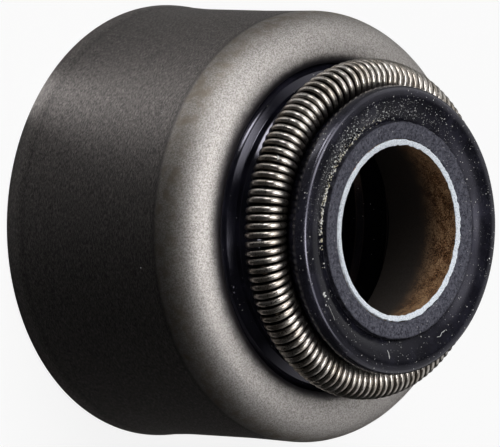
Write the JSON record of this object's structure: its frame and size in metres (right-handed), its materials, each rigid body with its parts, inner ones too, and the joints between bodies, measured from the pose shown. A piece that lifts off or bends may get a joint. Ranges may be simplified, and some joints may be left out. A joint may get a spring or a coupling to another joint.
{
  "type": "valve stem seal",
  "caption": "Round valve stem seal: steel shell with a moulded rubber body, garter spring and lined mouth that wipes oil off an engine valve's stem.",
  "frame": {"origin": "centre of the shell's rear rim, on the surface that the seal stands on", "axes": "+Z along the seal's axis, from the rear rim towards the front lip"},
  "size_m": [0.017, 0.017, 0.0127],
  "materials": {
    "satin_steel": "drawn steel with a dark satin phosphate look, lighter and grainy on the front corner",
    "black_rubber": "satin black rubber with a faint blue cast and some pale dust",
    "spring_wire": "bright drawn spring steel, slightly warm",
    "pale_liner": "filled fluoropolymer, white at its cut edge and speckled brown in the bore"
  },
  "bodies": {
    "root": {"steel_shell": "satin_steel", "rubber_body": "black_rubber", "garter_spring": "spring_wire", "stem_liner": "pale_liner"}
  },
  "joints": []
}
